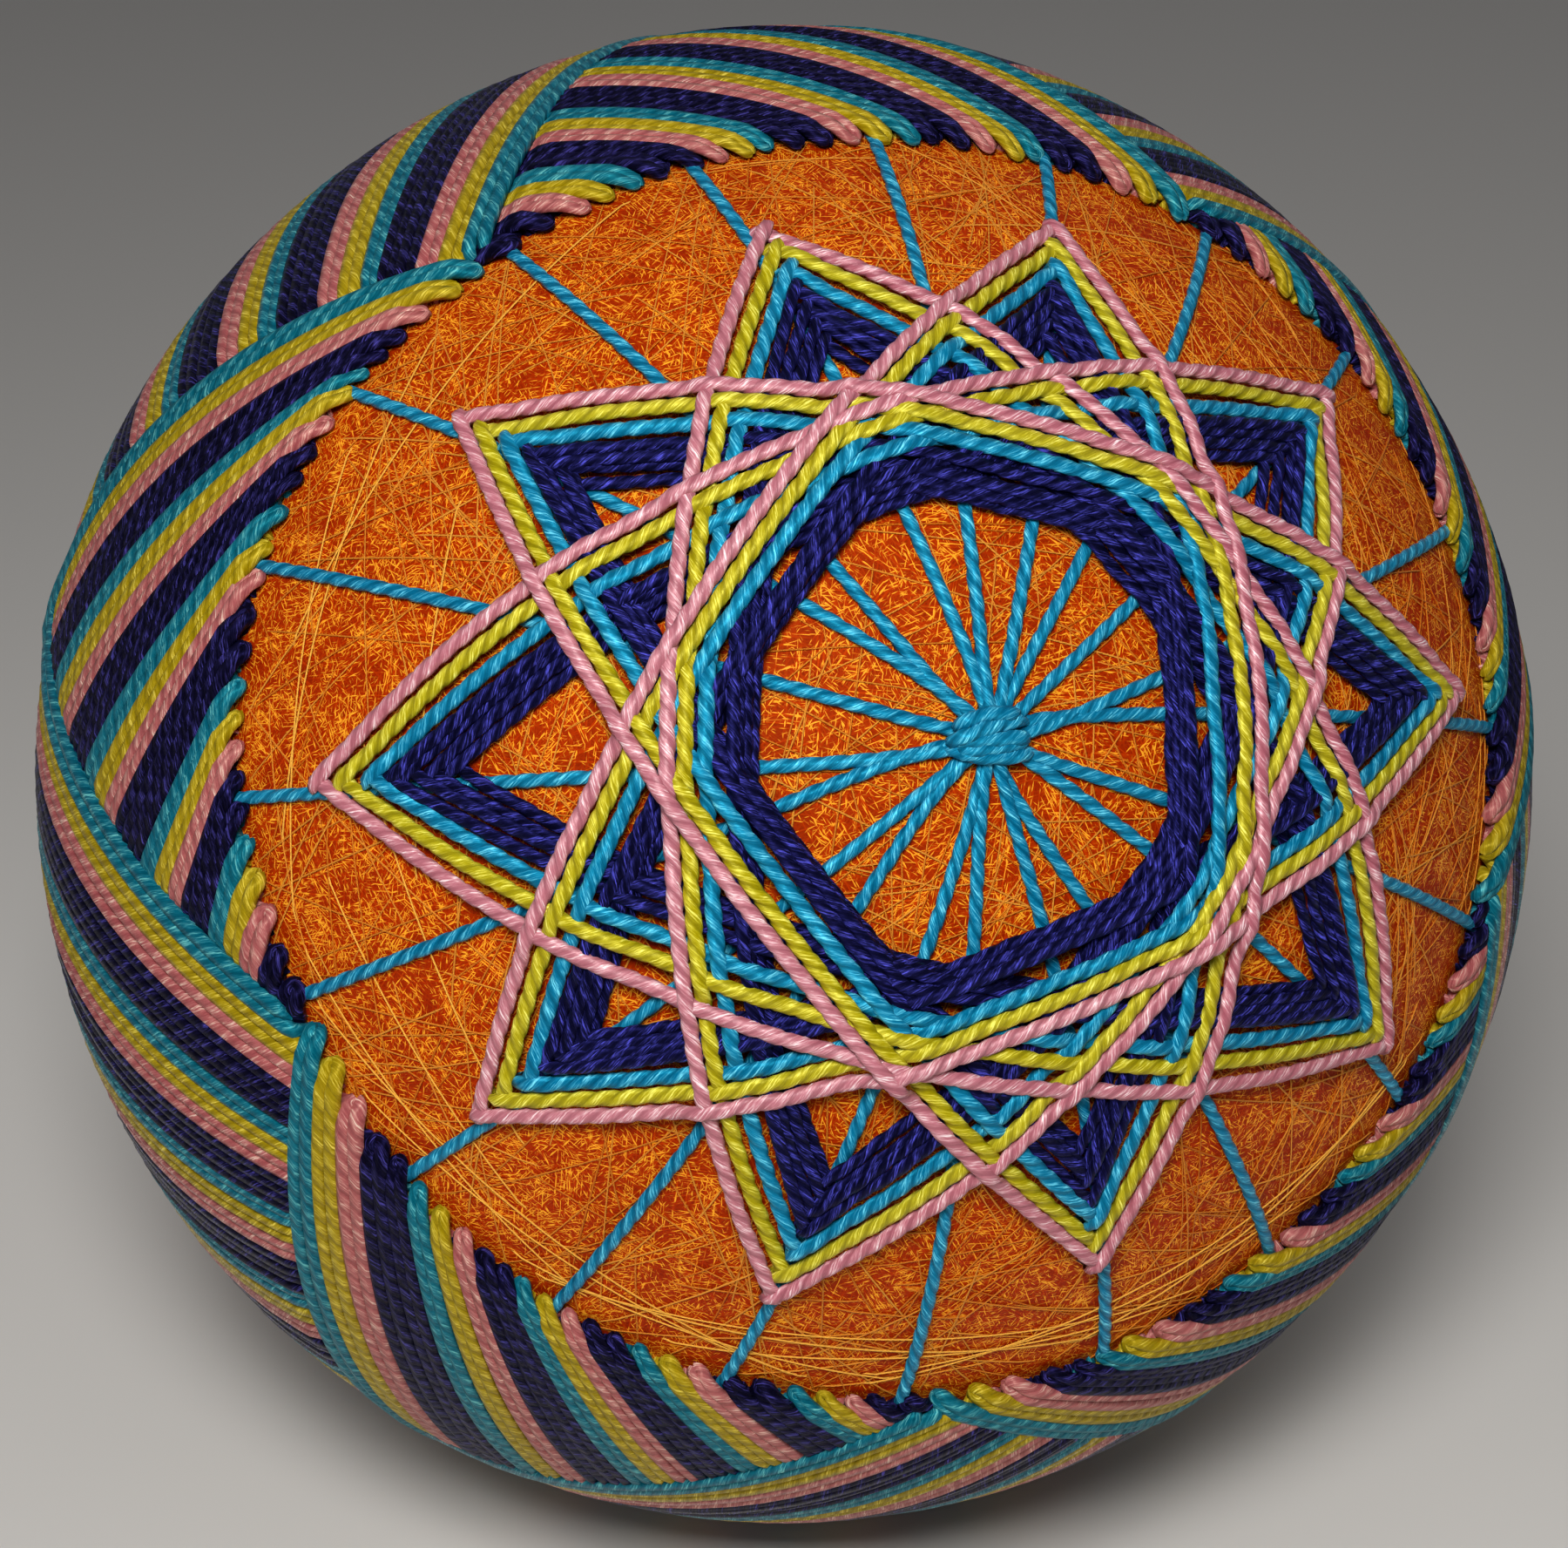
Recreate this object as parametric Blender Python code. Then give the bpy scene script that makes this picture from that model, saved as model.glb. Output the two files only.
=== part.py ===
"""Temari ball: a wound thread ball lying on its side on its embroidered belt.

The star axis points to the front (-Y) and is raised by STAR_TILT above the surface.
Patterns are laid out in the ball's own frame, whose +Z is the star axis, on a plane
that touches the ball at the pole: great circles are straight lines there, so a taut
thread is a straight line and a pole distance t on it is the tangent of the polar angle.
"""

import bpy
import bmesh
from math import acos, atan2, cos, degrees, pi, radians, sin, sqrt, tan
from mathutils import Matrix, Vector

# Driving sizes, in metres and degrees
CORE_RADIUS = 0.0426           # thread-wrapped ball under the embroidery
THREAD = 0.00072               # pearl cotton strand
CLEARANCE = 0.0003             # gap between neighbouring pieces
STAR_TILT = 25.0               # star axis above the surface
FIRST_LINE = 195.5             # direction of division line 1 around the star axis
LINES = 20                     # division lines from pole to pole
SECTORS = 5                    # repeats of the belt around the ball
BELT_EDGE = 49.5               # polar angle where the belt begins
BELT_STEP = 72.0               # turn that a belt thread makes from edge to edge
BELT_THICK = 0.0011            # two strands on each other, pressed
SPOKE_THICK = 0.00045          # one strand, pressed into the wrap
STAR_THICK = 0.00065           # star band away from its crossings
RING_RISE = 0.0006             # more where the star's bands pile up, this many degrees
RING_BEYOND = 4.0              # outside their inner edge's middle
RING_WIDTH = 0.3               # and this wide in the pattern plane
FACET_SAG = 0.0002             # flat inner facets of the belt dip this near the core
JUNCTION_SHIFT = 2.5           # last belt thread, past its division line
BELT_TEETH = 25                # colour groups, whose thread turns notch the belt's edges
TOOTH_DEPTH = 0.55
TOOTH_BASE = 2.0               # polar reach of a tooth into the belt
TOOTH_STEPS = 3
EDGE_ROUND = 1.4               # rounding of the belt's edges, as a polar angle
EDGE_DROP = 0.35               # and as a share of the belt's thickness
RIDGE_RADIUS = 0.00045         # last threads of the belt, which lie on all others
RIDGE_SETTLE = 0.2             # share of it by which one slant lies under the other
RIDGE_INSET = 1.5              # turn by which they stop short of the belt's edge
HUB_RADIUS = 0.0026            # knot that gathers the division threads at a pole
HUB_REACH = 0.9                # share of it where a division thread begins
FLAT_DEPTH = 0.0006            # how far the resting spot is pressed in

# Radii of the layers, each one clearance above the last
SPOKE_FOOT = CORE_RADIUS + CLEARANCE
SPOKE_TOP = SPOKE_FOOT + SPOKE_THICK
STAR_FOOT = SPOKE_TOP + CLEARANCE
STAR_TOP = STAR_FOOT + STAR_THICK
BELT_FOOT = CORE_RADIUS + CLEARANCE + FACET_SAG
BELT_TOP = BELT_FOOT + BELT_THICK
CENTRE_HEIGHT = BELT_TOP - FLAT_DEPTH

# Star band: polar angle at a tip and halfway between tips
STAR_TIPS = 10
STAR_JUMP = 4                  # a band runs from a tip to the fourth one on
OUTER_TIP, OUTER_MIDDLE = 40.5, 20.4
INNER_TIP, INNER_MIDDLE = 30.4, 13.9
BACK_MIDDLES = ((INNER_MIDDLE, OUTER_MIDDLE),) * STAR_TIPS
BAND_OVERRUN = 0.035           # crossed thread ends past a tip, as part of a band
BAND_STEPS = 12

# Hand-stitched unevenness of the front, in degrees.
# Tips, counter-clockwise from division line 2: (out from the pole, along the turn)
FRONT_TIPS = (
    (0.3, -0.1), (-0.3, -0.7), (-1.8, -2.2), (1.4, 2.1), (2.3, 3.6),
    (0.7, 1.4), (-1.4, 0.1), (-2.1, -3.5), (-0.1, -1.7), (3.2, 0.1),
)
# Bands, each from its tip: polar angle halfway, at the inner and at the outer edge
FRONT_MIDDLES = (
    (13.1, 18.7), (14.0, 20.2), (13.4, 20.0), (15.4, 22.6), (15.3, 21.5),
    (15.8, 22.1), (14.0, 19.5), (13.9, 19.5), (12.3, 17.9), (14.0, 21.2),
)
# Division lines 1 to 20, counter-clockwise: (turn near the pole, turn near the belt)
FRONT_LINES = (
    (-2.2, 0.7), (2.6, 1.2), (-1.3, 0.6), (3.9, -0.4), (-1.1, -2.3),
    (1.9, -1.0), (-1.7, -1.0), (4.1, 0.2), (-0.2, -0.5), (5.4, 0.2),
    (-3.2, 0.5), (-0.4, 1.5), (-0.4, 1.2), (-3.7, 0.3), (-4.2, -0.9),
    (-7.7, -1.4), (-1.5, -0.7), (-6.7, -0.4), (-1.3, -1.1), (4.3, 1.2),
)
BACK_TIPS = (
    (-0.6, 0.5), (0.7, -0.8), (0.3, 0.9), (-1.2, -0.3), (0.9, -0.5),
    (0.2, 0.8), (-0.8, 0.2), (1.1, -1.0), (-0.4, 0.6), (0.5, -0.4),
)
PAIRED_LINES = ((-2.5, 0.0), (2.5, 0.0)) * (LINES // 2)
NEAR_POLE, NEAR_BELT = 13.5, 45.0
SPOKE_GAP = 0.45               # where a division thread stops short of the belt
FLAT_HEIGHT = 0.04             # of a pattern bar before it is bent round the ball
LONGEST_EDGE = 0.17            # of a flat pattern, so that it bends closely
MERGE_REACH = 0.0002

COLOURS = {
    "wound_core": (0.78, 0.25, 0.01),
    "division_threads": (0.03, 0.36, 0.52),
    "star": (0.03, 0.04, 0.22),
    "belt": (0.05, 0.07, 0.24),
}


def clear_scene():
    for old in list(bpy.data.objects):
        bpy.data.objects.remove(old, do_unlink=True)


def thread_material(name):
    material = bpy.data.materials.new(name)
    material.use_nodes = True
    shader = material.node_tree.nodes["Principled BSDF"]
    shader.inputs["Base Color"].default_value = (*COLOURS[name], 1.0)
    shader.inputs["Roughness"].default_value = 0.6
    shader.inputs["Metallic"].default_value = 0.0
    return material


def ball_to_world():
    """Turn of the ball's own frame, star axis up, into the resting place."""
    turn = Matrix.Rotation(radians(90.0 - STAR_TILT), 4, "X")
    return Matrix.Translation((0.0, 0.0, CENTRE_HEIGHT)) @ turn


def plane_point(polar, around):
    """Point of the pattern plane at a polar angle and direction, in degrees."""
    reach = tan(radians(polar))
    return Vector((reach * cos(radians(around)), reach * sin(radians(around))))


def line_direction(number):
    return FIRST_LINE + (number - 1) * 360.0 / LINES


def new_object(name, mesh, collection, material=None):
    piece = bpy.data.objects.new(name, mesh)
    collection.objects.link(piece)
    if material:
        mesh.materials.append(material)
    return piece


def set_smooth(mesh, edge_angle=35.0):
    mesh.shade_smooth()
    mesh.set_sharp_from_angle(angle=radians(edge_angle))


def curved_path(start, end, bulge, steps):
    """Points from start to end in the pattern plane, bowed away from the pole."""
    middle = (start + end) / 2.0
    outward = middle.normalized() * bulge
    along = [i / steps for i in range(steps + 1)]
    return [start.lerp(end, t) + 4.0 * t * (1.0 - t) * outward for t in along]


def band_paths(first_tip, last_tip, middles):
    """Inner and outer edge of the star band between two tips (polar shift, direction)."""
    paths = []
    for tip_angle, middle_angle in zip((INNER_TIP, OUTER_TIP), middles):
        start = plane_point(tip_angle + first_tip[0], first_tip[1])
        end = plane_point(tip_angle + last_tip[0], last_tip[1])
        bulge = tan(radians(middle_angle)) - ((start + end) / 2.0).length
        path = curved_path(start, end, bulge, BAND_STEPS)
        path[0] += (path[0] - path[1]).normalized() * BAND_OVERRUN
        path[-1] += (path[-1] - path[-2]).normalized() * BAND_OVERRUN
        paths.append(path)
    return paths


def ladder_prism(left, right, low, high):
    """Closed flat bar between two rows of points, as a mesh of quads."""
    cage = bmesh.new()
    rows = []
    for height in (low, high):
        rows.append([[cage.verts.new((p.x, p.y, height)) for p in side] for side in (left, right)])
    (floor_l, floor_r), (top_l, top_r) = rows
    last = len(left) - 1
    for i in range(last):
        cage.faces.new((floor_l[i], floor_r[i], floor_r[i + 1], floor_l[i + 1]))
        cage.faces.new((top_l[i], top_l[i + 1], top_r[i + 1], top_r[i]))
        cage.faces.new((floor_l[i], floor_l[i + 1], top_l[i + 1], top_l[i]))
        cage.faces.new((floor_r[i], top_r[i], top_r[i + 1], floor_r[i + 1]))
    for i in (0, last):
        cage.faces.new((floor_l[i], top_l[i], top_r[i], floor_r[i]))
    bmesh.ops.recalc_face_normals(cage, faces=cage.faces)
    mesh = bpy.data.meshes.new("flat_bar")
    cage.to_mesh(mesh)
    cage.free()
    return mesh


def united(meshes, name, guides):
    """One mesh from overlapping closed meshes, joined by exact unions."""
    base = new_object(name, meshes[0], guides)
    helpers = []
    for i, mesh in enumerate(meshes[1:]):
        helper = new_object(f"{name}_guide_{i}", mesh, guides)
        helpers.append(helper)
        union = base.modifiers.new("join", "BOOLEAN")
        union.operation = "UNION"
        union.object = helper
    graph = bpy.context.evaluated_depsgraph_get()
    result = bpy.data.meshes.new_from_object(base.evaluated_get(graph))
    for spare in [base] + helpers:
        bpy.data.objects.remove(spare, do_unlink=True)
    return result


def merge_flat_faces(shape):
    """Join the many coplanar cells of a union, then cut what is too long to bend."""
    bmesh.ops.remove_doubles(shape, verts=shape.verts, dist=MERGE_REACH)
    bmesh.ops.dissolve_limit(shape, angle_limit=radians(0.5), verts=shape.verts, edges=shape.edges)
    loose = [e for e in shape.edges if not e.link_faces]
    bmesh.ops.delete(shape, geom=loose, context="EDGES")
    bmesh.ops.triangulate(shape, faces=shape.faces)
    long_edges = [e for e in shape.edges if e.calc_length() > LONGEST_EDGE]
    while long_edges:
        bmesh.ops.subdivide_edges(shape, edges=long_edges, cuts=1)
        bmesh.ops.triangulate(shape, faces=shape.faces)
        long_edges = [e for e in shape.edges if e.calc_length() > LONGEST_EDGE]


def wrap_on_ball(mesh, height_of, back, has_wide_faces):
    """Bend a flat mesh round a pole. Its lower and upper points take foot and top height."""
    shape = bmesh.new()
    shape.from_mesh(mesh)
    if has_wide_faces:
        merge_flat_faces(shape)
    world = ball_to_world()
    if back:
        world = world @ Matrix.Rotation(pi, 4, "X")
    for vert in shape.verts:
        reach = Vector((vert.co.x, vert.co.y)).length
        direction = Vector((vert.co.x, vert.co.y, 1.0)).normalized()
        is_top = vert.co.z > FLAT_HEIGHT / 2.0
        vert.co = world @ (direction * height_of(reach, is_top))
    bmesh.ops.recalc_face_normals(shape, faces=shape.faces)
    shape.to_mesh(mesh)
    shape.free()


def star_height(reach, is_top):
    if not is_top:
        return STAR_FOOT
    ring = tan(radians(INNER_MIDDLE + RING_BEYOND))
    pile = max(0.0, 1.0 - abs(reach - ring) / RING_WIDTH)
    return STAR_TOP + RING_RISE * pile * pile * (3.0 - 2.0 * pile)


def make_star(name, tips, middles, back, model, guides, material):
    directions = []
    for i, (out, turn) in enumerate(tips):
        around = line_direction(2 + 2 * i) + turn
        directions.append((out, -around if back else around))
    bars = []
    for i in range(STAR_TIPS):
        last = directions[(i + STAR_JUMP) % STAR_TIPS]
        inner, outer = band_paths(directions[i], last, middles[i])
        bars.append(ladder_prism(inner, outer, 0.0, FLAT_HEIGHT))
    mesh = united(bars, name, guides)
    wrap_on_ball(mesh, star_height, back, True)
    set_smooth(mesh)
    return new_object(name, mesh, model, material)


def spoke_height(reach, is_top):
    return SPOKE_TOP if is_top else SPOKE_FOOT


def spoke_bar(inner_turn, outer_turn, around):
    """Flat bar of one division thread, from inside the knot to the belt."""
    near = plane_point(NEAR_POLE, around + inner_turn)
    far = plane_point(NEAR_BELT, around + outer_turn)
    heading = (far - near).normalized()
    hub = HUB_RADIUS / CORE_RADIUS
    nearest = near - heading * near.dot(heading)
    start = nearest + heading * sqrt(max((HUB_REACH * hub) ** 2 - nearest.length_squared, 0.0))
    edge = tan(radians(BELT_EDGE - TOOTH_DEPTH - SPOKE_GAP))
    end = nearest + heading * sqrt(edge ** 2 - nearest.length_squared)
    side = Vector((-heading.y, heading.x))
    left, right = [], []
    steps = 5
    for i in range(steps + 1):
        point = start.lerp(end, i / steps)
        half = THREAD / 2.0 / CORE_RADIUS * sqrt(1.0 + point.length_squared)
        left.append(point + side * half)
        right.append(point - side * half)
    return ladder_prism(left, right, 0.0, FLAT_HEIGHT)


def hub_disc():
    disc = bmesh.new()
    bmesh.ops.create_cone(
        disc, cap_ends=True, segments=24, radius1=HUB_RADIUS / CORE_RADIUS,
        radius2=HUB_RADIUS / CORE_RADIUS, depth=FLAT_HEIGHT,
        matrix=Matrix.Translation((0.0, 0.0, FLAT_HEIGHT / 2.0)))
    mesh = bpy.data.meshes.new("hub")
    disc.to_mesh(mesh)
    disc.free()
    return mesh


def make_division_threads(name, lines, back, model, guides, material):
    bars = [hub_disc()]
    for i, (inner_turn, outer_turn) in enumerate(lines):
        around = line_direction(i + 1)
        if back:
            around, inner_turn, outer_turn = -around, -inner_turn, -outer_turn
        bars.append(spoke_bar(inner_turn, outer_turn, around))
    mesh = united(bars, name, guides)
    wrap_on_ball(mesh, spoke_height, back, False)
    set_smooth(mesh)
    return new_object(name, mesh, model, material)


def make_core(model, material):
    ball = bmesh.new()
    bmesh.ops.create_icosphere(ball, subdivisions=4, radius=CORE_RADIUS, matrix=ball_to_world())
    mesh = bpy.data.meshes.new("wound_core")
    ball.to_mesh(mesh)
    ball.free()
    mesh.shade_smooth()
    return new_object("wound_core", mesh, model, material)


def belt_section():
    """Radius and polar angle of the belt's cut, round its outside and back inside."""
    steps = 8
    far_edge = 180.0 - BELT_EDGE
    shoulder = BELT_TOP - EDGE_DROP * BELT_THICK
    low, high = BELT_EDGE + EDGE_ROUND, far_edge - EDGE_ROUND
    outside = [(BELT_TOP, low + (high - low) * i / steps) for i in range(steps + 1)]
    inside = [(BELT_FOOT, far_edge - (far_edge - BELT_EDGE) * i / steps) for i in range(steps + 1)]
    return [(shoulder, BELT_EDGE)] + outside + [(shoulder, far_edge)] + inside


def belt_ring():
    """Turned ring of the belt, its two edges in teeth like the thread turns."""
    columns = BELT_TEETH * TOOTH_STEPS
    ring = bmesh.new()
    section = []
    for radius, polar in belt_section():
        angle = radians(polar)
        section.append(ring.verts.new((radius * sin(angle), 0.0, radius * cos(angle))))
    edges = [ring.edges.new((a, b)) for a, b in zip(section, section[1:] + section[:1])]
    bmesh.ops.spin(
        ring, geom=section + edges, cent=(0.0, 0.0, 0.0), axis=(0.0, 0.0, 1.0),
        angle=2.0 * pi, steps=columns, use_merge=True)
    bmesh.ops.recalc_face_normals(ring, faces=ring.faces)
    for vert in ring.verts:
        radius = vert.co.length
        polar = degrees(acos(vert.co.z / radius))
        from_edge = min(abs(polar - BELT_EDGE), abs(180.0 - BELT_EDGE - polar))
        if from_edge > TOOTH_BASE:
            continue
        around = degrees(atan2(vert.co.y, vert.co.x))
        tooth = cos(radians((around - FIRST_LINE - JUNCTION_SHIFT) * BELT_TEETH))
        inward = (1.0 if polar < 90.0 else -1.0) * (1.0 - from_edge / TOOTH_BASE)
        polar += inward * TOOTH_DEPTH * tooth
        flat = Vector((vert.co.x, vert.co.y)).normalized() * radius * sin(radians(polar))
        vert.co = Vector((flat.x, flat.y, radius * cos(radians(polar))))
    mesh = bpy.data.meshes.new("belt")
    ring.to_mesh(mesh)
    ring.free()
    return mesh


def belt_leg_point(start, travel, way):
    """Point on a belt thread that leaves the front edge at start and turns by travel."""
    edge_latitude = radians(90.0 - BELT_EDGE)
    half_turn = radians(BELT_STEP / 2.0)
    rise = tan(edge_latitude) / sin(half_turn)
    latitude = atan2(rise * sin(half_turn - radians(travel)), 1.0)
    around = radians(start + way * travel)
    return Vector((cos(latitude) * cos(around), cos(latitude) * sin(around), sin(latitude)))


def ridge_threads(way, steps, lift, name, guides):
    """The last threads of one slant, five of them, as one guide mesh."""
    curve = bpy.data.curves.new(name, "CURVE")
    curve.dimensions = "3D"
    curve.bevel_depth = RIDGE_RADIUS
    curve.bevel_resolution = 1
    curve.use_fill_caps = True
    for sector in range(SECTORS):
        start = FIRST_LINE + JUNCTION_SHIFT + sector * 360.0 / SECTORS
        spline = curve.splines.new("POLY")
        spline.points.add(steps)
        for i in range(steps + 1):
            travel = RIDGE_INSET + (BELT_STEP - 2.0 * RIDGE_INSET) * i / steps
            point = belt_leg_point(start, travel, way) * lift
            spline.points[i].co = (*point, 1.0)
    tube = bpy.data.objects.new(name, curve)
    guides.objects.link(tube)
    bpy.context.view_layer.update()
    graph = bpy.context.evaluated_depsgraph_get()
    mesh = bpy.data.meshes.new_from_object(tube.evaluated_get(graph))
    bpy.data.objects.remove(tube, do_unlink=True)
    welded = bmesh.new()
    welded.from_mesh(mesh)
    bmesh.ops.remove_doubles(welded, verts=welded.verts, dist=0.00001)
    bmesh.ops.recalc_face_normals(welded, faces=welded.faces)
    welded.to_mesh(mesh)
    welded.free()
    return mesh


def make_belt(model, guides, material):
    rings = [belt_ring()]
    for way, steps, lift, name in (
            (1.0, 11, BELT_TOP, "ridges_onward"),
            (-1.0, 10, BELT_TOP - RIDGE_SETTLE * RIDGE_RADIUS, "ridges_back")):
        rings.append(ridge_threads(way, steps, lift, name, guides))
    mesh = united(rings, "belt", guides)
    mesh.transform(ball_to_world())
    set_smooth(mesh)
    belt = new_object("belt", mesh, model, material)
    box = bmesh.new()
    bmesh.ops.create_cube(box, size=2.0 * CORE_RADIUS)
    bmesh.ops.translate(box, verts=box.verts, vec=(0.0, 0.0, -CORE_RADIUS))
    below = bpy.data.meshes.new("surface_below")
    box.to_mesh(below)
    box.free()
    cutter = new_object("surface_below", below, guides)
    cutter.hide_render = True
    cutter.display_type = "WIRE"
    press = belt.modifiers.new("resting_spot", "BOOLEAN")
    press.operation = "DIFFERENCE"
    press.object = cutter
    return belt


def main():
    clear_scene()
    model = bpy.data.collections.new("temari_ball")
    guides = bpy.data.collections.new("guides")
    for collection in (model, guides):
        bpy.context.scene.collection.children.link(collection)
    paint = {name: thread_material(name) for name in COLOURS}
    make_core(model, paint["wound_core"])
    for side, lines, tips, middles, back in (
            ("front", FRONT_LINES, FRONT_TIPS, FRONT_MIDDLES, False),
            ("back", PAIRED_LINES, BACK_TIPS, BACK_MIDDLES, True)):
        make_division_threads(
            f"division_threads_{side}", lines, back, model, guides, paint["division_threads"])
        make_star(f"star_{side}", tips, middles, back, model, guides, paint["star"])
    make_belt(model, guides, paint["belt"])


main()
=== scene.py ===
from math import cos, pi, radians, sin, tan

import bpy
import numpy as np
from mathutils import Matrix, Vector


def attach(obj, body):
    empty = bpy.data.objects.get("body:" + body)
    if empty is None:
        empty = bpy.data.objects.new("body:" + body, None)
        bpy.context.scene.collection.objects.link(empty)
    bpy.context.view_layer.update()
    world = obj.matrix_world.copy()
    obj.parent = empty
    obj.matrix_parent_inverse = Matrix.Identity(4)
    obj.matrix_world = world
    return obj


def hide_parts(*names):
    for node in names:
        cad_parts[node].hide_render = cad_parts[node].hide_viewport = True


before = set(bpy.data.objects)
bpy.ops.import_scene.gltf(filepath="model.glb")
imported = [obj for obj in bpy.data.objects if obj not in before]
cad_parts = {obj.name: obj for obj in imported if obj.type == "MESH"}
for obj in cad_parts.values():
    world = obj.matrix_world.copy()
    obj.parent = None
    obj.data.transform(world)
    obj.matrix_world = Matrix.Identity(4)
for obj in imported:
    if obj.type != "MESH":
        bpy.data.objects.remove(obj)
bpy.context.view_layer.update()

# Temari ball: every thread is laid along its own route, in the order it is stitched.
# The ball's own frame has the star axis as +Z. Sizes are in metres, angles in degrees.

BALL_CENTRE = Vector((0.0, 0.0, 0.0436))
STAR_TILT = 25.0
BALL_RADIUS = 0.04295          # outside of the fine orange winding
STRAND = 0.00072               # pearl cotton, two plies
PRESSED = 0.82                 # thickness of a stitched strand against its width
PLY_TURNS = -400.0             # turns of the plies per metre, to the left
FIBRE_LENGTH = 0.00055         # streaks of fibre on a strand
FIBRE_WIDTH = 0.0001
BELT_SHADE = (0.78, 0.66, 0.52, 1.0)     # darker, warmer colour of the belt's threads against the star's: painted shade
LOOP_HEIGHT = 0.00024          # middle of a strand over the wound ball at its loop
LOOP_FALL = 0.0016             # length over which a strand comes down to its loop
LOOP_BENDS = (90.0, 62.0, 34.0, 6.0)
LOOP_BACK = 0.02               # how far back a loop's direction is read, in ball radii
PLY_LEAN = 0.44                # lean of the fibres against their strand
HALF = STRAND * PRESSED / 2.0
STAR_WIDE, STAR_PRESSED = 1.2, 0.68
STAR_HALF = STRAND * STAR_WIDE * STAR_PRESSED / 2.0
PILE = 0.0008                  # height over which crossing threads press together
STAR_PRESS, KNOT_PRESS = 0.7, 0.65      # share of the height over it that is lost
FINE_RADIUS = 0.00006          # sewing thread of the winding
FINE_STRANDS = 700             # loose ones on either side, over the lower layers

FIRST_LINE = 195.5
LINES = 20
NEAR_POLE, NEAR_BELT = 13.5, 45.0
BELT_EDGE = 49.5
BELT_STEP = 72.0
BELT_FIRST = FIRST_LINE + 2.5
SECTORS = 5
ROWS = 50
ROW_TURN = BELT_STEP / ROWS
FINGER = 0.5                   # turn by which an upper belt thread goes past the edge
TUCK = 1.3                     # and by which a lower one stops short of it
STAR_TIPS = 10
STAR_JUMP = 4

# Star rows from the inside out: colour, polar angle at a tip
STAR_ROWS = (
    ("navy", 30.2), ("navy", 31.5), ("navy", 32.9), ("navy", 34.2),
    ("turquoise", 36.0), ("yellow", 38.5), ("pink", 40.5),
)
NAVY_ROWS = 4
NAVY_GAP = 1.65                # angle from the last navy row to turquoise, halfway
ROUND_STARTS = (9, 6)          # first tip of each of a row's two rounds
# Belt rows from a junction on, ten to a repeat
BELT_ROWS = ("turquoise",) * 2 + ("yellow",) * 2 + ("pink",) * 2 + ("navy",) * 4

# Hand-stitched unevenness of the front. Tips: (out from the pole, along the turn)
FRONT_TIPS = (
    (0.3, -0.1), (-0.3, -0.7), (-1.8, -2.2), (1.4, 2.1), (2.3, 3.6),
    (0.7, 1.4), (-1.4, 0.1), (-2.1, -3.5), (-0.1, -1.7), (3.2, 0.1),
)
# Threads that start at a tip, polar angle halfway: first navy, turquoise, yellow, pink
FRONT_MIDDLES = (
    (13.3, 16.1, 17.3, 18.4), (14.3, 17.4, 18.9, 20.0), (13.6, 16.5, 18.5, 19.8),
    (15.6, 19.2, 21.1, 22.4), (15.5, 18.8, 20.1, 21.2), (16.0, 19.1, 20.6, 21.9),
    (14.2, 16.9, 18.1, 19.2), (14.1, 16.8, 18.1, 19.2), (12.5, 15.1, 16.5, 17.6),
    (14.2, 17.6, 19.0, 21.0),
)
# Polar angle of the belt's front edge every 18 degrees from the first belt thread on
FRONT_EDGE = (
    49.9, 50.4, 50.5, 50.7, 51.0, 51.0, 50.8, 51.3, 51.4, 51.6,
    51.4, 51.5, 49.9, 48.7, 48.1, 48.3, 49.4, 51.7, 52.0, 51.7,
)
# Belt sectors: shift along the front edge of each turquoise pair and navy group in turn
FRONT_SHIFTS = (
    (1.1, 3.7, 3.7, 2.8, 1.3, -0.4, -1.4, -1.0, -0.3, -2.6),
    (-1.8, 0.0, -1.1, -0.2, -1.5, -0.4, -1.4, -0.5, -0.8, -0.1),
    (-0.3, 2.7, 2.7, 2.3, 1.5, 1.7, 1.1, 0.8, 1.0, 0.6),
    (1.6, 2.2, 1.9, 0.6, -0.2, -0.3, -0.9, -2.7, -2.3, -2.4),
    (-0.4, 0.0, -1.3, -1.4, -2.0, -1.3, -0.6, -1.5, -1.8, -0.6),
)
# Stray winding threads: nearest polar angle, its direction, half the turn they cover
FRONT_STRAYS = (
    (45.3, 226.0, 30.0), (46.4, 231.0, 26.0), (44.2, 262.0, 34.0), (45.3, 257.0, 28.0),
    (46.2, 267.0, 26.0), (44.8, 293.0, 33.0), (46.0, 284.0, 24.0), (46.5, 213.0, 22.0),
    (45.4, 158.0, 26.0), (46.4, 168.0, 23.0), (44.2, 138.0, 28.0), (46.3, 303.0, 23.0),
    (43.2, 205.0, 20.0), (38.5, 196.0, 24.0), (36.0, 168.0, 22.0), (47.2, 245.0, 20.0),
)
# Middle of a knot: polar angle and direction. Then the direction of its stitches
FRONT_KNOT, FRONT_KNOT_TURN = (1.0, 5.0), 2.0
BACK_KNOT, BACK_KNOT_TURN = (0.3, 120.0), 40.0
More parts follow.
